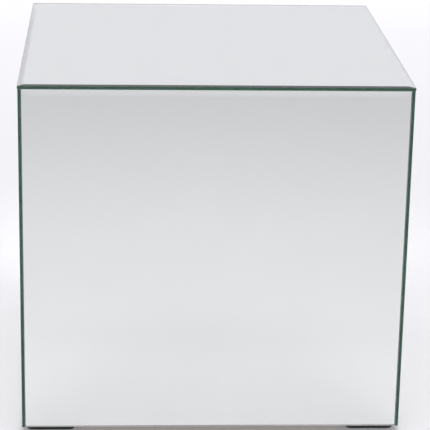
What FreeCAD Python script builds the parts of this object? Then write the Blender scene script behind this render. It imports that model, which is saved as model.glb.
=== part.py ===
import FreeCAD, Part
import os
from FreeCAD import Placement, Rotation, Vector

# Mirror block cube: a side table in the form of a plain block. Five bevelled mirror panes are
# bonded with tape and mastic to a closed fibreboard box, which stands on four low corner feet.
# The top pane laps over the four wall panes, the side panes run the full depth, and the front and
# rear panes are fitted between them, so the cut edges of the glass outline the front.
#
# Units are millimetres. +Z is up, the front faces -Y, and the origin is on the floor under the
# middle of the block.

# ---------------------------------------------------------------- driving dimensions
width = 450.0
depth = 450.0
height = 425.0

# Mirror cladding, from the box outward.
glue_bed = 1.8          # thickness of the tape strips and of the pressed mastic beads
silvering = 0.2         # silver, paint and safety film together
glass = 4.0
bevel_width = 7.0
bevel_drop = 0.5        # how much glass the bevel takes off at the pane's edge
arris = 0.3             # small chamfer round the back of each pane
silvering_inset = 0.3   # the film is trimmed this far inside the cut edge
pane_gap = 0.1          # between one pane's cut edge and the next pane's film
cladding = glue_bed + silvering + glass

# Box.
board = 15.0
post_side = 30.0
batten_side = 20.0
base_clearance = 0.5    # round the bottom board, which goes in last

# Feet.
foot_side = 56.0
foot_thickness = 6.0
foot_corner = 5.0
foot_edge = 0.8
felt_side = 50.0
felt_thickness = 1.5
felt_corner = 4.0

# Tape and mastic behind each pane, as shares of the pane's length.
tape_width = 19.0
tape_places = (-0.43, 0.43)
bead_width = 12.0
bead_end_flat = 0.2     # left flat between the rounded corners of a bead's ends
bead_places = (-0.30, -0.10, 0.10, 0.30)
glue_end_margin = 45.0  # from a pane's upper and lower edges to the ends of the tape and beads

# Countersunk wood screws and dowels.
screw_radius = 2.0
head_radius = 4.0
head_rim = 0.4
screw_tip = 5.0
recess_width = 0.9
recess_span = 4.4
recess_depth = 1.6
hole_ease = 0.1         # all round a screw or dowel, in its hole
overshoot = 1.0         # how far a cutter stands out of what it cuts
wall_screw_length = 45.0
base_screw_length = 28.0
foot_screw_length = 32.0
wall_screw_heights = (0.14, 0.5, 0.86)   # shares of the wall's height
base_screw_place = 90.0                  # from the middle of each batten, both ways
foot_screw_places = ((0.22, -0.22), (-0.22, 0.22))   # shares of the post's side, from its middle
dowel_radius = 4.0
dowel_length = 29.0
dowel_in_top = 9.5
dowel_chamfer = 1.0
dowel_place = 120.0                      # from the middle of each wall, both ways

# ---------------------------------------------------------------- derived sizes
stand = foot_thickness + felt_thickness
box_x = width / 2 - cladding
box_y = depth / 2 - cladding
box_top = height - cladding
wall_top = box_top - board
inner_x = box_x - board
inner_y = box_y - board
base_top = stand + board
pane_top = height - glass - silvering - pane_gap
pane_height = pane_top - stand
front_pane_length = width - 2 * (glass + silvering + pane_gap)
corners = {
    "front_left": (-1, -1),
    "front_right": (1, -1),
    "rear_left": (-1, 1),
    "rear_right": (1, 1),
}

X, Y, Z = Vector(1, 0, 0), Vector(0, 1, 0), Vector(0, 0, 1)
wall_middle = stand + pane_height / 2
# Each clad face: the way its pane's length runs, the way its height runs, the way it faces, the
# middle of the box's surface behind it, and the pane's length and height.
faces = {
    "front": (X, Z, -Y, Vector(0, -box_y, wall_middle), front_pane_length, pane_height),
    "rear": (-X, Z, Y, Vector(0, box_y, wall_middle), front_pane_length, pane_height),
    "left": (-Y, Z, -X, Vector(-box_x, 0, wall_middle), depth, pane_height),
    "right": (Y, Z, X, Vector(box_x, 0, wall_middle), depth, pane_height),
    "top": (X, Y, Z, Vector(0, 0, box_top), width, depth),
}

nodes = {}


# ---------------------------------------------------------------- helpers
def block(x0, x1, y0, y1, z0, z1):
    """A box between two opposite corners, given in any order."""
    low = Vector(min(x0, x1), min(y0, y1), min(z0, z1))
    return Part.makeBox(abs(x1 - x0), abs(y1 - y0), abs(z1 - z0), low)


def stacked_plate(length, breadth, sections):
    """A closed plate of flat faces. Each section is how far it lies inside the outline, and its
    height; neighbouring sections are joined by sloping faces."""
    rings = []
    for inset, level in sections:
        a = length / 2 - inset
        b = breadth / 2 - inset
        rings.append([Vector(-a, -b, level), Vector(a, -b, level),
                      Vector(a, b, level), Vector(-a, b, level)])
    outlines = [rings[0][::-1], rings[-1]]
    for lower, upper in zip(rings, rings[1:]):
        for i in range(4):
            j = (i + 1) % 4
            outlines.append([lower[i], lower[j], upper[j], upper[i]])
    skin = [Part.Face(Part.makePolygon(points + points[:1])) for points in outlines]
    return Part.makeSolid(Part.makeShell(skin))


def rounded_plate(side_x, side_y, thickness, radius):
    """A plate with rounded upright edges, centred on the origin and standing on it."""
    plate = block(-side_x / 2, side_x / 2, -side_y / 2, side_y / 2, 0, thickness)
    upright = [e for e in plate.Edges if abs(e.tangentAt(e.FirstParameter).z) > 0.99]
    return plate.makeFillet(radius, upright)


def screw_envelope(length, ease=0.0):
    """A countersunk screw's outer shape along +Z, its head's flat face at the origin."""
    r, head = screw_radius + ease, head_radius + ease
    cone_end = head_rim + head - r
    profile = [Vector(0, 0, 0), Vector(head, 0, 0), Vector(head, 0, head_rim),
               Vector(r, 0, cone_end), Vector(r, 0, length - screw_tip), Vector(0, 0, length + ease),
               Vector(0, 0, 0)]
    return Part.Face(Part.makePolygon(profile)).revolve(Vector(), Z, 360)


def cross_recess():
    """The driver's cross, cut into a screw's head."""
    half, thin = recess_span / 2, recess_width / 2
    bar = block(-half, half, -thin, thin, -overshoot, recess_depth)
    return bar.fuse(block(-thin, thin, -half, half, -overshoot, recess_depth))


def dowel_envelope(ease=0.0):
    """A dowel along +Z from the origin, with chamfered ends when it is the dowel itself."""
    pin = Part.makeCylinder(dowel_radius + ease, dowel_length + 2 * ease, Vector(0, 0, -ease))
    return pin if ease else pin.makeChamfer(dowel_chamfer, [e for e in pin.Edges if e.Closed])


def aimed(shape, at, along):
    """The shape with its +Z turned to run along a direction, moved to a point."""
    moved = shape.copy()
    moved.Placement = Placement(at, Rotation(Z, along)).multiply(moved.Placement)
    return moved


def drilled(shape, cutters):
    """The shape with every cutter taken out of it."""
    near = [c for c in cutters if c.BoundBox.intersect(shape.BoundBox)]
    return shape.cut(Part.makeCompound(near)) if near else shape


# ---------------------------------------------------------------- fastener places
def wall_screw_places():
    """Through the side boards into the ends of the front and rear boards."""
    for sx, sy in corners.values():
        for share in wall_screw_heights:
            z = stand + share * (wall_top - stand)
            yield Vector(sx * box_x, sy * (box_y - board / 2), z), Vector(-sx, 0, 0)


def top_dowel_places():
    """Upright, half in each wall's top edge and half in the top board."""
    z = box_top - board + dowel_in_top - dowel_length
    for sign in (-1, 1):
        for along in (-dowel_place, dowel_place):
            yield Vector(sign * (box_x - board / 2), along, z), Z
            yield Vector(along, sign * (box_y - board / 2), z), Z


def base_screw_places():
    """Up through the bottom board into the four battens."""
    for sign in (-1, 1):
        for along in (-base_screw_place, base_screw_place):
            yield Vector(sign * (inner_x - batten_side / 2), along, stand), Z
            yield Vector(along, sign * (inner_y - batten_side / 2), stand), Z


def foot_screw_places_at(sx, sy):
    """Up through a foot and the bottom board into the corner post."""
    for u, v in foot_screw_places:
        x = inner_x - post_side / 2 + u * post_side
        y = inner_y - post_side / 2 + v * post_side
        yield Vector(sx * x, sy * y, felt_thickness), Z


def screws_at(places, length):
    """One screw solid at each place."""
    one = screw_envelope(length).cut(cross_recess())
    return [aimed(one, at, along) for at, along in places]


def screw_holes_at(places, length):
    """One clearance cutter at each place."""
    return [aimed(screw_envelope(length, hole_ease), at, along) for at, along in places]


foot_places = [place for s in corners.values() for place in foot_screw_places_at(*s)]
wall_holes = screw_holes_at(wall_screw_places(), wall_screw_length)
base_holes = screw_holes_at(base_screw_places(), base_screw_length)
foot_holes = screw_holes_at(foot_places, foot_screw_length)
dowel_holes = [aimed(dowel_envelope(hole_ease), at, along) for at, along in top_dowel_places()]
every_hole = wall_holes + base_holes + foot_holes + dowel_holes


# ---------------------------------------------------------------- mirror cladding
def add_mirror(name):
    """One clad face: glass, its silvering, two tape strips and four mastic beads."""
    along, up, out, middle, length, breadth = faces[name]
    place = Placement(middle, Rotation(along, up, out, "ZXY"))
    bonded = breadth - 2 * glue_end_margin

    pane = stacked_plate(length, breadth, [
        (arris, 0),
        (0, arris),
        (0, glass - bevel_drop),
        (bevel_width, glass),
    ])
    pane.translate(Z * (glue_bed + silvering))
    film = stacked_plate(length, breadth, [(silvering_inset, 0), (silvering_inset, silvering)])
    film.translate(Z * glue_bed)
    tapes = []
    for share in tape_places:
        middle_line = share * length
        tapes.append(block(middle_line - tape_width / 2, middle_line + tape_width / 2,
                           -bonded / 2, bonded / 2, 0, glue_bed))
    beads = []
    for share in bead_places:
        bead = rounded_plate(bead_width, bonded, glue_bed, (bead_width - bead_end_flat) / 2)
        beads.append(bead.translated(Vector(share * length, 0, 0)))

    for layer, shape in {
        "mirror_glass": pane,
        "mirror_silvering": film,
        "mirror_tape": Part.makeCompound(tapes),
        "mirror_mastic": Part.makeCompound(beads),
    }.items():
        nodes[f"{name}_{layer}"] = shape.transformed(place.toMatrix())


for face_name in faces:
    add_mirror(face_name)


# ---------------------------------------------------------------- box
def add_walls():
    """Side boards over the full depth, front and rear boards between them."""
    for name, sx in (("left", -1), ("right", 1)):
        wall = block(sx * inner_x, sx * box_x, -box_y, box_y, stand, wall_top)
        nodes[f"{name}_board"] = drilled(wall, every_hole)
    for name, sy in (("front", -1), ("rear", 1)):
        wall = block(-inner_x, inner_x, sy * inner_y, sy * box_y, stand, wall_top)
        nodes[f"{name}_board"] = drilled(wall, every_hole)


def add_top_and_bottom():
    """The top board lies on the walls; the bottom board fits inside them."""
    top = block(-box_x, box_x, -box_y, box_y, wall_top, box_top)
    nodes["top_board"] = drilled(top, every_hole)
    bx, by = inner_x - base_clearance, inner_y - base_clearance
    nodes["bottom_board"] = drilled(block(-bx, bx, -by, by, stand, base_top), every_hole)


def add_posts_and_battens():
    """A post up each inner corner, and a batten along the foot of each wall."""
    post_x, post_y = inner_x - post_side, inner_y - post_side
    for name, (sx, sy) in corners.items():
        post = block(sx * post_x, sx * inner_x, sy * post_y, sy * inner_y, base_top, wall_top)
        nodes[f"{name}_post"] = drilled(post, every_hole)
    batten_top = base_top + batten_side
    for name, sx in (("left", -1), ("right", 1)):
        batten = block(sx * (inner_x - batten_side), sx * inner_x, -post_y, post_y,
                       base_top, batten_top)
        nodes[f"{name}_batten"] = drilled(batten, every_hole)
    for name, sy in (("front", -1), ("rear", 1)):
        batten = block(-post_x, post_x, sy * (inner_y - batten_side), sy * inner_y,
                       base_top, batten_top)
        nodes[f"{name}_batten"] = drilled(batten, every_hole)


add_walls()
add_top_and_bottom()
add_posts_and_battens()


# ---------------------------------------------------------------- feet
def add_foot(name, sx, sy):
    """A moulded foot under one corner of the box, with a felt pad under it."""
    middle = Vector(sx * (box_x - foot_side / 2), sy * (box_y - foot_side / 2), 0)
    foot = rounded_plate(foot_side, foot_side, foot_thickness, foot_corner)
    foot = foot.makeChamfer(foot_edge, [e for e in foot.Edges if e.BoundBox.ZMax < 0.01])
    foot.translate(middle + Z * felt_thickness)
    nodes[f"{name}_foot"] = drilled(foot, foot_holes)
    felt = rounded_plate(felt_side, felt_side, felt_thickness, felt_corner)
    nodes[f"{name}_felt"] = felt.translated(middle)


for corner_name, (side_x, side_y) in corners.items():
    add_foot(corner_name, side_x, side_y)

# ---------------------------------------------------------------- fasteners
nodes["wall_screws"] = Part.makeCompound(screws_at(wall_screw_places(), wall_screw_length))
nodes["bottom_board_screws"] = Part.makeCompound(screws_at(base_screw_places(), base_screw_length))
nodes["foot_screws"] = Part.makeCompound(screws_at(foot_places, foot_screw_length))
nodes["top_board_dowels"] = Part.makeCompound(
    [aimed(dowel_envelope(), at, along) for at, along in top_dowel_places()])

# ---------------------------------------------------------------- export
os.makedirs("parts", exist_ok=True)
for node_name, node_shape in nodes.items():
    node_shape.exportStep(f"parts/{node_name}.step")
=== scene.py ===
import math

import bmesh
import bpy
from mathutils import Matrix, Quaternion, Vector, noise


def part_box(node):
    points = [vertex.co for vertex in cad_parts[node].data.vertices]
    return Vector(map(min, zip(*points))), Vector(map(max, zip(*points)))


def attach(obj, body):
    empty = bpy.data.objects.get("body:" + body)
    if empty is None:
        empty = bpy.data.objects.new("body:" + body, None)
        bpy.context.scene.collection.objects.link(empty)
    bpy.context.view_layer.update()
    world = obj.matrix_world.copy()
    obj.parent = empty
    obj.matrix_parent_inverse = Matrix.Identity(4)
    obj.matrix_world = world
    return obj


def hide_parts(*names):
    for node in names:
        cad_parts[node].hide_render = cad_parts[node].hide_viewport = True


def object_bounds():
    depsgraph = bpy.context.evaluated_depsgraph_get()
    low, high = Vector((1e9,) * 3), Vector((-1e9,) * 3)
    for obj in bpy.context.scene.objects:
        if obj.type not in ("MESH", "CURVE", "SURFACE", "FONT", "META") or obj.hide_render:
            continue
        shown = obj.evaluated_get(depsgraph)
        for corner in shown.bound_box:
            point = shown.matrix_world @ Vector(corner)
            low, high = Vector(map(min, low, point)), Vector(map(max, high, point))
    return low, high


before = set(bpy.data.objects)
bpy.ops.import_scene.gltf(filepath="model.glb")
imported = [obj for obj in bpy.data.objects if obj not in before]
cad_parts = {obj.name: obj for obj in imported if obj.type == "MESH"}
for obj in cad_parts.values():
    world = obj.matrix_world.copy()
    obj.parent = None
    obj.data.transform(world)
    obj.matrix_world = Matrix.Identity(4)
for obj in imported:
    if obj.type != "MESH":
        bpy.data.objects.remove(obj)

cad_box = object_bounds()
low, high = cad_box

MM = 0.001
BODY = "root"
FACES = ("front", "rear", "left", "right", "top")
CORNERS = ("front_left", "front_right", "rear_left", "rear_right")


# ---------------------------------------------------------------- camera
CAMERA_FROM_ORIGIN = Vector((-0.1165, -2.2665, 0.9475))
CAMERA_YAW = 3.26       # degrees to the right of +Y
CAMERA_PITCH = 18.25    # degrees below the horizon
CAMERA_ROLL = 1.13
CAMERA_LENS = 156.8


def add_camera():
    yaw, pitch = math.radians(CAMERA_YAW), math.radians(CAMERA_PITCH)
    ahead = Vector((math.sin(yaw) * math.cos(pitch), math.cos(yaw) * math.cos(pitch), -math.sin(pitch)))
    camera = bpy.data.objects.new("camera", bpy.data.cameras.new("camera"))
    camera.location = CAMERA_FROM_ORIGIN
    camera.rotation_mode = "QUATERNION"
    camera.rotation_quaternion = (ahead.to_track_quat("-Z", "Y")
                                  @ Quaternion((0, 0, 1), math.radians(CAMERA_ROLL)))
    camera.data.lens = CAMERA_LENS
    camera.data.clip_end = 100
    bpy.context.scene.collection.objects.link(camera)
    bpy.context.scene.camera = camera


# ---------------------------------------------------------------- node helpers
class Shader:
    """One material's node tree, built from a Principled shader outward."""

    def __init__(self, name):
        self.material = bpy.data.materials.new(name)
        self.material.use_nodes = True
        self.tree = self.material.node_tree
        self.principled = self.tree.nodes["Principled BSDF"]
        self.output = self.tree.nodes["Material Output"]

    def node(self, kind, settings=None, **values):
        made = self.tree.nodes.new(kind)
        for key, value in (settings or {}).items():
            setattr(made, key, value)
        for key, value in values.items():
            self.put(made, key.replace("_", " "), value)
        return made

    def put(self, node, socket, value):
        target = node.inputs[socket]
        if isinstance(value, bpy.types.NodeSocket):
            self.tree.links.new(value, target)
        else:
            target.default_value = value

    def set(self, **values):
        for key, value in values.items():
            self.put(self.principled, key.replace("_", " "), value)

    def place(self, scale=(1, 1, 1)):
        """Object coordinates in metres, stretched by a scale."""
        where = self.node("ShaderNodeTexCoord").outputs["Object"]
        mapping = self.node("ShaderNodeMapping")
        self.put(mapping, "Vector", where)
        self.put(mapping, "Scale", scale)
        return mapping.outputs["Vector"]

    def noise(self, vector, scale, detail=4.0, roughness=0.55, distortion=0.0):
        made = self.node("ShaderNodeTexNoise", Scale=scale, Detail=detail, Roughness=roughness,
                         Distortion=distortion)
        self.put(made, "Vector", vector)
        return made.outputs["Fac"]

    def spread(self, source, low_in, high_in, low_out, high_out):
        made = self.node("ShaderNodeMapRange")
        self.put(made, "Value", source)
        for socket, value in (("From Min", low_in), ("From Max", high_in),
                              ("To Min", low_out), ("To Max", high_out)):
            self.put(made, socket, value)
        return made.outputs["Result"]

    def ramp(self, source, stops, interpolation="LINEAR"):
        made = self.node("ShaderNodeValToRGB")
        self.put(made, "Fac", source)
        made.color_ramp.interpolation = interpolation
        elements = made.color_ramp.elements
        while len(elements) < len(stops):
            elements.new(0.5)
        for element, (position, colour) in zip(elements, stops):
            element.position = position
            element.color = (*colour, 1)
        return made.outputs["Color"]

    def bump(self, height, distance, strength=1.0):
        made = self.node("ShaderNodeBump", Strength=strength, Distance=distance)
        self.put(made, "Height", height)
        self.set(Normal=made.outputs["Normal"])


# ---------------------------------------------------------------- materials
# painted light: the floor glows though it is no lamp, most just beside the block, less a step away, more
# again far out
PAINTED_GLOW_COLOUR = (0.965, 0.955, 1.0)
PAINTED_GLOW_REACH = 4.0        # metres from the block's middle
# metres out, and the strength of the floor's painted light there
PAINTED_FLOOR_GLOW = ((0.30, 0.158), (0.48, 0.186), (0.86, 0.124), (1.80, 0.124), (3.40, 0.29))
GLASS_TINT = (0.22, 0.48, 0.37)   # with the density, what a metre of the glass takes out
GLASS_DENSITY = 10.0
GLASS_IOR = 1.52
CUT_EDGE_ROUGHNESS = (0.10, 0.22)
FACE_ROUGHNESS = 0.012            # the most that wiping marks dull the face
GRINDING_ACROSS, GRINDING_ALONG = 2600.0, 25.0   # how close the grinding's lines are, per metre


def glass_material(facing):
    """Float glass with polished faces and ground cut edges; facing is the axis that its face looks along."""
    s = Shader(f"float_glass_{facing}")
    parts = s.node("ShaderNodeSeparateXYZ")
    s.put(parts, "Vector", s.node("ShaderNodeTexCoord").outputs["Normal"])
    outward = s.node("ShaderNodeMath", {"operation": "ABSOLUTE"})
    s.put(outward, "Value", parts.outputs[facing])
    cut_edge = s.spread(outward.outputs["Value"], 0.5, 0.4, 0.0, 1.0)
    lengthwise = tuple(GRINDING_ACROSS if axis == facing else GRINDING_ALONG for axis in "XYZ")
    grinding = s.noise(s.place(lengthwise), scale=1.0, detail=2.0, roughness=0.6)
    wiped = s.noise(s.place(), scale=9.0, detail=5.0, roughness=0.65, distortion=0.8)
    ground = s.node("ShaderNodeMath", {"operation": "MULTIPLY_ADD"})
    s.put(ground, 0, cut_edge)
    s.put(ground, 1, s.spread(grinding, 0.3, 0.7, *CUT_EDGE_ROUGHNESS))
    s.tree.links.new(s.spread(wiped, 0.45, 0.75, 0.0, FACE_ROUGHNESS), ground.inputs[2])
    s.set(Base_Color=(1, 1, 1, 1), Roughness=ground.outputs["Value"], IOR=GLASS_IOR)
    s.principled.inputs["Transmission Weight"].default_value = 1.0
    absorption = s.node("ShaderNodeVolumeAbsorption", Color=(*GLASS_TINT, 1), Density=GLASS_DENSITY)
    s.tree.links.new(absorption.outputs["Volume"], s.output.inputs["Volume"])
    return s.material


def silver_material():
    s = Shader("mirror_silver")
    cloud = s.noise(s.place(), scale=14.0, detail=3.0)
    tint = s.ramp(cloud, [(0.3, (0.955, 0.955, 0.945)), (0.7, (0.965, 0.965, 0.955))])
    s.set(Base_Color=tint, Metallic=1.0, Roughness=0.0)
    return s.material


def film_material():
    """Grey mirror paint under a thin woven safety film."""
    s = Shader("safety_film")
    weave = s.noise(s.place(), scale=900.0, detail=2.0)
    s.set(Base_Color=s.ramp(weave, [(0.35, (0.55, 0.57, 0.58)), (0.65, (0.68, 0.70, 0.71))]), Roughness=0.45)
    s.bump(weave, distance=0.00005)
    return s.material


def fibreboard_material():
    """Medium density fibreboard, sealed with a thin coat."""
    s = Shader("fibreboard")
    fine = s.noise(s.place(), scale=1400.0, detail=3.0, roughness=0.7)
    patch = s.noise(s.place(), scale=18.0, detail=4.0, roughness=0.6)
    mixed = s.node("ShaderNodeMath", {"operation": "MULTIPLY_ADD"})
    s.put(mixed, 0, fine)
    s.put(mixed, 1, 0.55)
    s.tree.links.new(s.spread(patch, 0.3, 0.7, 0.18, 0.28), mixed.inputs[2])
    colour = s.ramp(mixed.outputs[0], [(0.3, (0.27, 0.17, 0.09)), (0.55, (0.42, 0.29, 0.17)),
                                       (0.8, (0.53, 0.39, 0.25))])
    s.set(Base_Color=colour, Roughness=s.spread(fine, 0.3, 0.7, 0.62, 0.82))
    s.bump(fine, distance=0.0001)
    return s.material


def timber_material(name, grain, dark, light):
    """Timber with its grain along the axis whose scale is the smallest."""
    s = Shader(name)
    streak = s.noise(s.place(grain), scale=1.0, detail=6.0, roughness=0.6, distortion=0.6)
    pore = s.noise(s.place(tuple(8 * g for g in grain)), scale=1.0, detail=2.0, roughness=0.6)
    colour = s.ramp(streak, [(0.35, dark), (0.65, light)])
    s.set(Base_Color=colour, Roughness=s.spread(pore, 0.3, 0.7, 0.5, 0.75))
    s.bump(pore, distance=0.0001)
    return s.material


def foam_material():
    s = Shader("foam_tape")
    cells = s.node("ShaderNodeTexVoronoi", Scale=2600.0)
    s.put(cells, "Vector", s.place())
    colour = s.ramp(cells.outputs["Distance"], [(0.0, (0.62, 0.62, 0.60)), (0.6, (0.86, 0.86, 0.84))])
    s.set(Base_Color=colour, Roughness=0.85)
    s.bump(cells.outputs["Distance"], distance=0.0001)
    return s.material


def mastic_material():
    s = Shader("mirror_mastic")
    drag = s.noise(s.place(), scale=160.0, detail=4.0)
    s.set(Base_Color=s.ramp(drag, [(0.3, (0.50, 0.47, 0.40)), (0.7, (0.62, 0.59, 0.51))]),
          Roughness=s.spread(drag, 0.3, 0.7, 0.35, 0.6))
    s.bump(drag, distance=0.0004)
    return s.material


def zinc_material():
    s = Shader("zinc_plate")
    spangle = s.noise(s.place(), scale=700.0, detail=3.0)
    s.set(Base_Color=s.ramp(spangle, [(0.3, (0.50, 0.51, 0.50)), (0.7, (0.72, 0.72, 0.69))]),
          Metallic=1.0, Roughness=s.spread(spangle, 0.3, 0.7, 0.22, 0.42))
    return s.material


def foot_material():
    """Black moulded plastic with a fine spark-eroded skin."""
    s = Shader("foot_plastic")
    skin = s.noise(s.place(), scale=2200.0, detail=3.0, roughness=0.7)
    scuff = s.noise(s.place((1, 1, 6)), scale=60.0, detail=5.0, roughness=0.7, distortion=1.0)
    s.set(Base_Color=s.ramp(scuff, [(0.35, (0.008, 0.008, 0.008)), (0.75, (0.02, 0.02, 0.019))]),
          Roughness=s.spread(scuff, 0.3, 0.7, 0.42, 0.6))
    s.bump(skin, distance=0.00008)
    return s.material


def felt_material():
    s = Shader("black_felt")
    fibre = s.noise(s.place((1, 1, 3)), scale=1500.0, detail=5.0, roughness=0.75, distortion=2.0)
    s.set(Base_Color=s.ramp(fibre, [(0.35, (0.006, 0.006, 0.006)), (0.65, (0.045, 0.045, 0.044))]),
          Roughness=0.95)
    s.principled.inputs["Sheen Weight"].default_value = 0.2
    s.bump(fibre, distance=0.0006)
    return s.material


def floor_material():
    """A white matt floor with painted light: it glows though it is no lamp, lifting the shade under and
    beside the block, dimmer a step away, and brighter again far out.
    """
    s = Shader("studio_floor_painted_glow")
    tooth = s.noise(s.place(), scale=900.0, detail=2.0)
    s.set(Base_Color=s.ramp(tooth, [(0.3, (0.79, 0.79, 0.79)), (0.7, (0.81, 0.81, 0.81))]), Roughness=0.9)
    s.principled.inputs["Emission Color"].default_value = (*PAINTED_GLOW_COLOUR, 1)
    distance = s.node("ShaderNodeVectorMath", {"operation": "LENGTH"})
    s.put(distance, 0, s.place((1 / PAINTED_GLOW_REACH,) * 3))
    stops = [(reach / PAINTED_GLOW_REACH, (strength,) * 3) for reach, strength in PAINTED_FLOOR_GLOW]
    # painted light: the glow's strength by distance from the block stands in for light and shade on the floor
    s.set(Emission_Strength=s.ramp(distance.outputs["Value"], stops, "EASE"))
    return s.material


GLASS = {facing: glass_material(facing) for facing in "XYZ"}
FACING = {"front": "Y", "rear": "Y", "left": "X", "right": "X", "top": "Z"}
silver = silver_material()
film = film_material()
fibreboard = fibreboard_material()
foam = foam_material()
mastic = mastic_material()
zinc = zinc_material()
foot_plastic = foot_material()
felt = felt_material()
PINE_DARK, PINE_LIGHT = (0.47, 0.29, 0.13), (0.70, 0.51, 0.29)
post_timber = timber_material("post_timber", (130, 130, 6), PINE_DARK, PINE_LIGHT)
side_batten_timber = timber_material("side_batten_timber", (130, 6, 130), PINE_DARK, PINE_LIGHT)
end_batten_timber = timber_material("end_batten_timber", (6, 130, 130), PINE_DARK, PINE_LIGHT)
dowel_timber = timber_material("dowel_timber", (400, 400, 20), (0.44, 0.28, 0.16), (0.66, 0.47, 0.30))


def dress(node, material):
    """Gives a CAD node its material."""
    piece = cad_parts[node]
    piece.data.materials.clear()
    piece.data.materials.append(material)
    return piece


def dress_nodes():
    for face in FACES:
        dress(f"{face}_mirror_glass", GLASS[FACING[face]])
        dress(f"{face}_board", fibreboard)
    dress("bottom_board", fibreboard)
    for corner in CORNERS:
        dress(f"{corner}_post", post_timber)
        dress(f"{corner}_foot", foot_plastic)
    for face, timber in (("left", side_batten_timber), ("right", side_batten_timber),
                         ("front", end_batten_timber), ("rear", end_batten_timber)):
        dress(f"{face}_batten", timber)
    for name in ("wall_screws", "bottom_board_screws", "foot_screws"):
        dress(name, zinc)
    dress("top_board_dowels", dowel_timber)


# ---------------------------------------------------------------- silvering
SILVER_GAP = 0.02 * MM    # keeps the silver off the pane's back face
FILM_SHRINK = 0.15 * MM   # the film is trimmed a little inside the paint
SQUARE = ((-1, -1), (1, -1), (1, 1), (-1, 1))


def face_frame(node):
    """A thin node's middle, its outward direction, and the two directions across it."""
    a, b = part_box(node)
    middle, size = (a + b) / 2, b - a
    thin = min(range(3), key=lambda i: size[i])
    centre = (low + high) / 2
    out = Vector((0, 0, 0))
    out[thin] = 1 if middle[thin] > centre[thin] else -1
    up = Vector((0, 1, 0)) if thin == 2 else Vector((0, 0, 1))
    along = up.cross(out)
    spans = [abs(Vector(size).dot(v)) for v in (along, up, out)]
    return middle, along, up, out, spans


def add_piece(name, built, node, materials):
    """A piece made from a bmesh, which stands for a CAD node."""
    mesh = bpy.data.meshes.new(name)
    bmesh.ops.recalc_face_normals(built, faces=built.faces)
    built.to_mesh(mesh)
    built.free()
    for material in materials:
        mesh.materials.append(material)
    piece = bpy.data.objects.new(name, mesh)
    bpy.context.scene.collection.objects.link(piece)
    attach(piece, BODY)
    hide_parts(node)
    return piece


def loft(built, rings):
    """Joins rings of equal length into a skin, and closes its two ends."""
    rings = [[built.verts.new(at) for at in ring] for ring in rings]
    count = len(rings[0])
    for lower, upper in zip(rings, rings[1:]):
        for i in range(count):
            j = (i + 1) % count
            built.faces.new((lower[i], lower[j], upper[j], upper[i]))
    built.faces.new(rings[0][::-1])
    built.faces.new(rings[-1])


def add_silvering(face):
    """The reflecting coat, with its paint and film behind it."""
    node = f"{face}_mirror_silvering"
    middle, along, up, out, (length, breadth, thickness) = face_frame(node)
    levels = ((FILM_SHRINK, -thickness / 2), (0, -thickness / 4), (0, thickness / 2 - SILVER_GAP))
    rings = []
    for inset, level in levels:
        half_length, half_breadth = length / 2 - inset, breadth / 2 - inset
        centre = middle + out * level
        rings.append([centre + along * u * half_length + up * v * half_breadth for u, v in SQUARE])
    built = bmesh.new()
    loft(built, rings)
    built.faces.ensure_lookup_table()
    for skin_face in built.faces:
        skin_face.material_index = 1
    built.faces[-1].material_index = 0
    add_piece(f"{face}_silver_coat", built, node, [silver, film])


# ---------------------------------------------------------------- tape and mastic
TAPE_WIDTH = 19 * MM
TAPE_WANDER = 0.4 * MM    # the most that an edge falls short of the full width
TAPE_RIM = 0.35 * MM      # how far an edge bulges
BEAD_WIDTH = 12 * MM
BEAD_WANDER = 3.2 * MM
BEAD_RIM = 0.9 * MM
WANDER_SCALE = 42.0       # how quickly an edge wanders along its strip
EDGE_SPACING = 7.3        # between one edge's place in the noise and the next one's
STATIONS = 90             # along a strip
RIM_STEPS = 4             # from the middle of a rim to each face
LEAST_TAPER = 0.004
LEAST_REACH = 0.1         # shares that keep a strip's ends from closing to a point


def edge_losses(at, strip, wander):
    """How far a strip's two edges fall short at a place along it."""
    losses = []
    for side in (0, 1):
        sample = at * WANDER_SCALE + Vector((side, strip, 0)) * EDGE_SPACING
        losses.append(wander * (0.5 + 0.5 * noise.noise(sample)))
    return losses


def add_ribbons(name, node, material, count, ribbon, wander, rim, tapered):
    """Strips pressed flat between a pane and its board, with bulged edges that wander along their length."""
    middle, along, up, out, (length, breadth, thickness) = face_frame(node)
    built = bmesh.new()
    for strip in range(count):
        centre = middle + along * (length - ribbon) * (strip / (count - 1) - 0.5)
        rings = []
        for station in range(STATIONS + 1):
            share = 0.5 - 0.5 * math.cos(math.pi * station / STATIONS)
            at = centre + up * breadth * (share - 0.5)
            left_loss, right_loss = edge_losses(at, strip, wander)
            half = ribbon / 2
            if tapered:
                from_end = min(share, 1 - share) * breadth
                half *= math.sqrt(max(1 - max(1 - from_end / (ribbon / 2), 0) ** 2, LEAST_TAPER))
            ring = []
            for side, loss in ((1, right_loss), (-1, left_loss)):
                reach = max(half - loss, LEAST_REACH * half)
                bulge = min(rim, reach)
                for step in range(-RIM_STEPS, RIM_STEPS + 1):
                    turn = side * math.pi / 2 * step / RIM_STEPS
                    across = side * (reach - bulge + bulge * math.cos(turn))
                    ring.append(at + along * across + out * thickness / 2 * math.sin(turn))
            rings.append(ring)
        loft(built, rings)
    piece = add_piece(name, built, node, [material])
    piece.data.shade_smooth()
    return piece


def add_bonding(face):
    tape = add_ribbons(f"{face}_foam_tape", f"{face}_mirror_tape", foam, 2,
                       TAPE_WIDTH, TAPE_WANDER, TAPE_RIM, tapered=False)
    add_ribbons(f"{face}_mastic_beads", f"{face}_mirror_mastic", mastic, 4,
                BEAD_WIDTH, BEAD_WANDER, BEAD_RIM, tapered=True)


# ---------------------------------------------------------------- felt pads
FELT_CORNER = 4 * MM
FELT_STEPS = 160
FELT_FUZZ = 0.12 * MM
FUZZ_SCALE = 1300.0
# shares of the pad's height, and how far its rim draws in there
FELT_RIM = ((0.0, 0.30 * MM), (0.15, 0.10 * MM), (0.40, 0.0),
            (0.70, 0.02 * MM), (0.90, 0.14 * MM), (1.0, 0.30 * MM))


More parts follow.
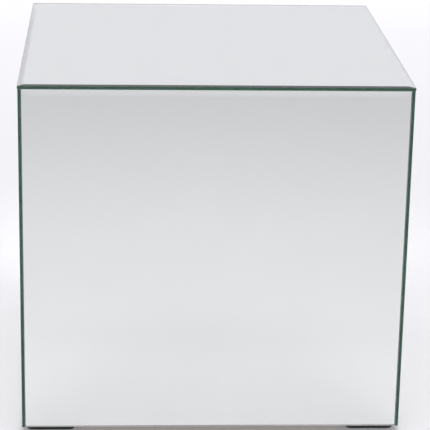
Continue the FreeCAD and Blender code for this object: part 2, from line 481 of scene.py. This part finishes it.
def rounded_square_reach(turn, half, radius):
    """How far a square's edge is from its middle, in a direction, when its corners are rounded."""
    c, s = abs(math.cos(turn)), abs(math.sin(turn))
    c, s = max(c, s), min(c, s)
    straight = half / c
    if straight * s <= half - radius:
        return straight
    core = half - radius
    along = core * (c + s)
    return along + math.sqrt(max(radius ** 2 - 2 * core ** 2 + along ** 2, 0))


def add_felt(corner):
    """A die-cut felt pad: its rim a little swollen and fuzzy, its faces pressed flat."""
    node = f"{corner}_felt"
    a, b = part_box(node)
    middle, size = (a + b) / 2, b - a
    rings = []
    for rise, inset in FELT_RIM:
        ring = []
        for step in range(FELT_STEPS):
            turn = 2 * math.pi * step / FELT_STEPS
            way = Vector((math.cos(turn), math.sin(turn), 0))
            reach = rounded_square_reach(turn, size.x / 2, FELT_CORNER)
            outline = middle + way * reach
            fuzz = FELT_FUZZ * noise.noise(Vector((outline.x, outline.y, rise * size.z)) * FUZZ_SCALE)
            at = middle + way * (reach - inset - FELT_FUZZ + fuzz)
            at.z = a.z + rise * size.z
            ring.append(at)
        rings.append(ring)
    built = bmesh.new()
    loft(built, rings)
    piece = add_piece(f"{corner}_felt_pad", built, node, [felt])


# ---------------------------------------------------------------- studio
FLOOR_SIDE = 60.0
SKY_COLOUR = (0.965, 0.955, 1.0)
LAMP_COLOUR = (0.99, 0.975, 1.0)
SKY_AT_HORIZON = 0.705   # as bright as the far floor, so that no horizon shows
SKY_ABOVE_HORIZON = 0.868
SKY_OVERHEAD = 0.42
HAZE_TOP = 0.15          # sines of the elevations between which the sky's brightness changes
DIMS_FROM, DIMS_TO = 0.32, 0.58
OVERHEAD_SOFTBOX = {"place": (0, -0.4, 1.35), "aim": (0, -0.45, 0), "size": (1.15, 1.15), "watts": 6.75}
BACKDROP_SOFTBOX = {"place": (0, 2.6, 2.8), "aim": (0, 1.9, 0), "size": (4.0, 2.0), "watts": 64.0}
MOST_BOUNCES = 96        # a cut edge is green with light that has crossed its pane many times
PANE_BOUNCES = 64


def add_softbox(name, place, aim, size, watts):
    """A rectangular area light, aimed at a point."""
    lamp = bpy.data.lights.new(name, "AREA")
    lamp.shape = "RECTANGLE"
    lamp.size, lamp.size_y = size
    lamp.energy = watts
    lamp.color = LAMP_COLOUR
    box = bpy.data.objects.new(name, lamp)
    box.location = place
    box.rotation_mode = "QUATERNION"
    box.rotation_quaternion = (Vector(aim) - Vector(place)).to_track_quat("-Z", "Y")
    bpy.context.scene.collection.objects.link(box)


def add_floor():
    built = bmesh.new()
    bmesh.ops.create_grid(built, x_segments=4, y_segments=4, size=FLOOR_SIDE / 2)
    mesh = bpy.data.meshes.new("floor")
    built.to_mesh(mesh)
    built.free()
    floor = bpy.data.objects.new("floor", mesh)
    floor.location.z = low.z
    mesh.materials.append(floor_material())
    bpy.context.scene.collection.objects.link(floor)


def add_sky():
    """A pale surround that grows out of the floor's tone, is brightest a little way up, and dims overhead."""
    world = bpy.data.worlds.new("studio")
    world.use_nodes = True
    tree = world.node_tree
    direction = tree.nodes.new("ShaderNodeTexCoord")
    parts = tree.nodes.new("ShaderNodeSeparateXYZ")
    tree.links.new(direction.outputs["Generated"], parts.inputs["Vector"])
    total = tree.nodes.new("ShaderNodeMath")
    changes = ((0.0, HAZE_TOP, SKY_AT_HORIZON, SKY_ABOVE_HORIZON),
               (DIMS_FROM, DIMS_TO, 0.0, SKY_OVERHEAD - SKY_ABOVE_HORIZON))
    for term, change in enumerate(changes):
        level = tree.nodes.new("ShaderNodeMapRange")
        level.interpolation_type = "SMOOTHSTEP"
        for socket, value in zip(("From Min", "From Max", "To Min", "To Max"), change):
            level.inputs[socket].default_value = value
        tree.links.new(parts.outputs["Z"], level.inputs["Value"])
        tree.links.new(level.outputs["Result"], total.inputs[term])
    background = tree.nodes["Background"]
    background.inputs["Color"].default_value = (*SKY_COLOUR, 1)
    tree.links.new(total.outputs["Value"], background.inputs["Strength"])
    bpy.context.scene.world = world


def add_studio():
    add_floor()
    add_sky()
    add_softbox("overhead_softbox", **OVERHEAD_SOFTBOX)
    add_softbox("backdrop_softbox", **BACKDROP_SOFTBOX)
    scene = bpy.context.scene
    scene.view_settings.view_transform = "Standard"
    scene.cycles.blur_glossy = 0.0
    scene.cycles.max_bounces = MOST_BOUNCES
    scene.cycles.glossy_bounces = PANE_BOUNCES
    scene.cycles.transmission_bounces = PANE_BOUNCES


add_camera()
dress_nodes()
for face_name in FACES:
    add_silvering(face_name)
    add_bonding(face_name)
for corner_name in CORNERS:
    add_felt(corner_name)
add_studio()
